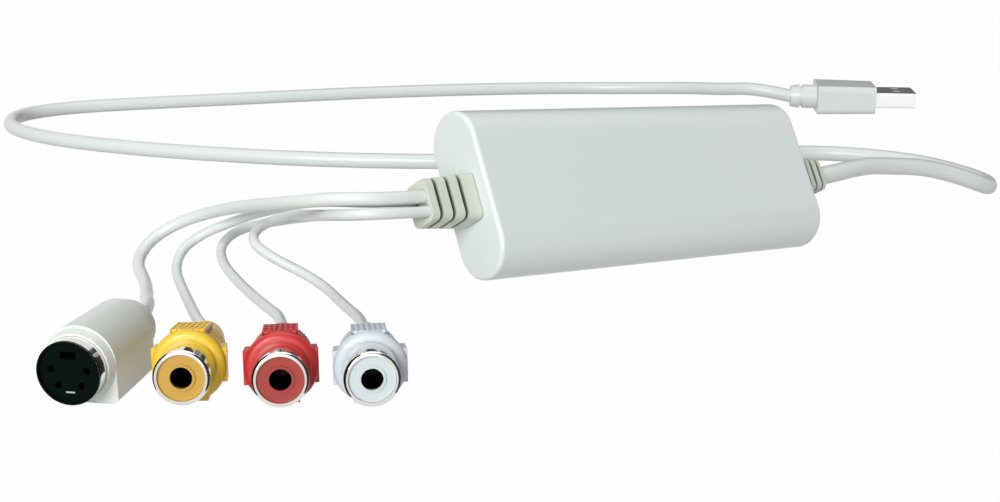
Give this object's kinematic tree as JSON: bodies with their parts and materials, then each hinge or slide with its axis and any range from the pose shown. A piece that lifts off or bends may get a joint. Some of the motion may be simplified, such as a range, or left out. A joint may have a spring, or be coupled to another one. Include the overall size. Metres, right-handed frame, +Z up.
{
  "type": "video capture box",
  "caption": "White obround video capture box with a USB cable and short leads to one S-video, one composite and two audio jacks.",
  "frame": {"origin": "on the surface, under the middle of the case as it leans back on its long rounded edge", "axes": "+X along the case towards the USB end, +Y away from the viewer, +Z up"},
  "size_m": [0.3014, 0.2605, 0.0353],
  "materials": {
    "case_white": "gloss",
    "relief_white": "satin",
    "lead_white": "satin",
    "composite_yellow": "satin",
    "audio_red": "satin",
    "jack_white": "satin",
    "nickel": "polished",
    "shell_steel": "satin",
    "contact_metal": "polished",
    "contact_dark": "satin",
    "insert_black": "satin",
    "tongue_white": "matt",
    "board_green": "satin",
    "chip_black": "matt",
    "can_aluminium": "satin",
    "ceramic_tan": "matt",
    "header_white": "matt",
    "wire_grey": "satin"
  },
  "bodies": {
    "root": {"housing_sleeve": "case_white", "breakout_end_cap": "case_white", "usb_end_cap": "case_white", "breakout_strain_relief": "relief_white", "usb_strain_relief": "relief_white", "circuit_board": "board_green", "video_decoder_chip": "chip_black", "usb_bridge_chip": "chip_black", "audio_codec_chip": "chip_black", "config_memory_chip": "chip_black", "crystals": "can_aluminium", "voltage_regulators": "chip_black", "filter_capacitors": "can_aluminium", "ceramic_capacitors": "ceramic_tan", "power_inductors": "chip_black", "breakout_header": "header_white", "usb_header": "header_white", "breakout_inner_wires": "wire_grey", "usb_inner_wires": "wire_grey", "svideo_jack_body": "jack_white", "svideo_jack_shield": "nickel", "svideo_jack_insulator": "insert_black", "svideo_jack_contacts": "contact_metal", "composite_jack_body": "composite_yellow", "composite_jack_barrel": "nickel", "composite_jack_insulator": "composite_yellow", "composite_jack_contact": "contact_dark", "right_audio_jack_body": "audio_red", "right_audio_jack_barrel": "nickel", "right_audio_jack_insulator": "audio_red", "right_audio_jack_contact": "contact_dark", "left_audio_jack_body": "jack_white", "left_audio_jack_barrel": "nickel", "left_audio_jack_insulator": "jack_white", "left_audio_jack_contact": "contact_dark", "usb_plug_overmould": "lead_white", "usb_plug_shell": "shell_steel", "usb_plug_tongue": "tongue_white", "usb_plug_contacts": "contact_metal", "svideo_lead": "lead_white", "composite_lead": "lead_white", "right_audio_lead": "lead_white", "left_audio_lead": "lead_white", "usb_cable": "lead_white"}
  },
  "joints": []
}
